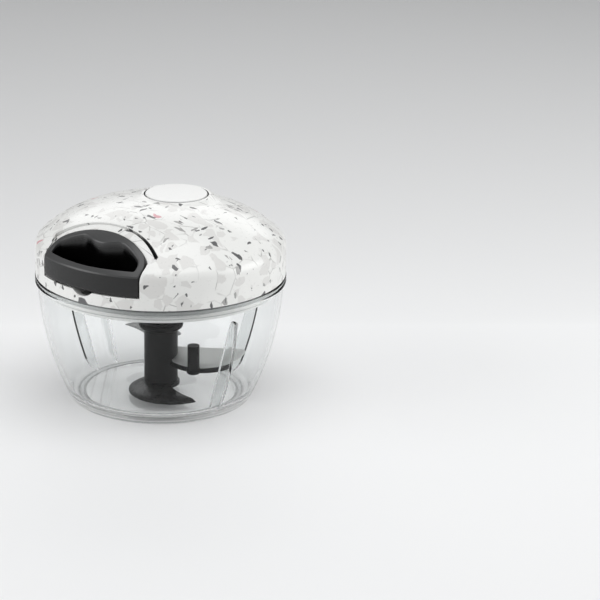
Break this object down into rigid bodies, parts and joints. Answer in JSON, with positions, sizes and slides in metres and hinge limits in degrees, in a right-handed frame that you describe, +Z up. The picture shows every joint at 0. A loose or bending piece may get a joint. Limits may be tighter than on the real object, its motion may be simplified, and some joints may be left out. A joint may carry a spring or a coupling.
{
  "type": "pull-string food chopper",
  "caption": "Hand-powered food chopper with a clear round bowl, a turning blade unit and a domed speckled lid whose pull handle unwinds a sprung cord to spin the blades.",
  "frame": {"origin": "centre of the foot ring on the table surface", "axes": "+Z up along the blade axis, the pull handle slides out along -Y"},
  "size_m": [0.1252, 0.1252, 0.1024],
  "materials": {
    "clear_plastic": "clear polished moulding",
    "speckled_lid": "satin, printed stone chip pattern",
    "cap_plastic": "satin",
    "white_plastic": "satin",
    "black_plastic": "semi-matte moulding",
    "black_blade": "black non-stick coating",
    "blade_steel": "ground stainless steel",
    "spring_steel": "tempered strip",
    "steel": "zinc plated",
    "acetal": "low-friction moulding",
    "seal_rubber": "silicone",
    "cord": "braided cord"
  },
  "bodies": {
    "bowl_body": {"bowl": "clear_plastic", "pivot_pin": "steel"},
    "lid": {"lid_cover": "speckled_lid", "lid_base": "white_plastic", "seal_ring": "seal_rubber", "top_cap": "cap_plastic", "cord_guide": "acetal", "spring_arbor": "acetal", "arbor_screws": "steel", "drive_bush": "acetal", "thrust_washer": "steel", "lid_screws": "steel"},
    "spool_unit": {"spool": "white_plastic", "spring_cover": "white_plastic", "spiral_spring": "spring_steel", "cord_winding": "cord", "drive_shaft": "white_plastic", "spool_screws": "steel"},
    "handle": {"pull_handle": "black_plastic", "cord_knot": "cord", "cord_run": "cord"},
    "blade_unit": {"blade_hub": "black_plastic", "lower_blade": "black_blade", "middle_blade": "blade_steel", "upper_blade": "blade_steel", "stirring_arm": "black_plastic"}
  },
  "joints": [
    {"name": "lid_lift", "type": "slide", "parent": "bowl_body", "child": "lid", "axis": [0, 0, 1], "range_m": [0, 0.08]},
    {"name": "handle_pull", "type": "slide", "parent": "lid", "child": "handle", "axis": [0, -1, 0], "range_m": [0, 0.4], "stiffness_N_per_m": 20, "springref_m": -0.2, "deforming": ["cord_run"]},
    {"name": "spool_spin", "type": "hinge", "parent": "lid", "child": "spool_unit", "pos_m": [0, 0, 0.08], "axis": [0, 0, 1], "range_deg": [-1100, 0], "deforming": ["spiral_spring"]},
    {"name": "blade_spin", "type": "hinge", "parent": "bowl_body", "child": "blade_unit", "pos_m": [0, 0, 0.02], "axis": [0, 0, 1], "range_deg": [-1100, 0]}
  ],
  "couplings": [
    {"joint": "spool_spin", "follows": "handle_pull", "rad_per_m": -47.17},
    {"joint": "blade_spin", "follows": "handle_pull", "rad_per_m": -47.17}
  ]
}
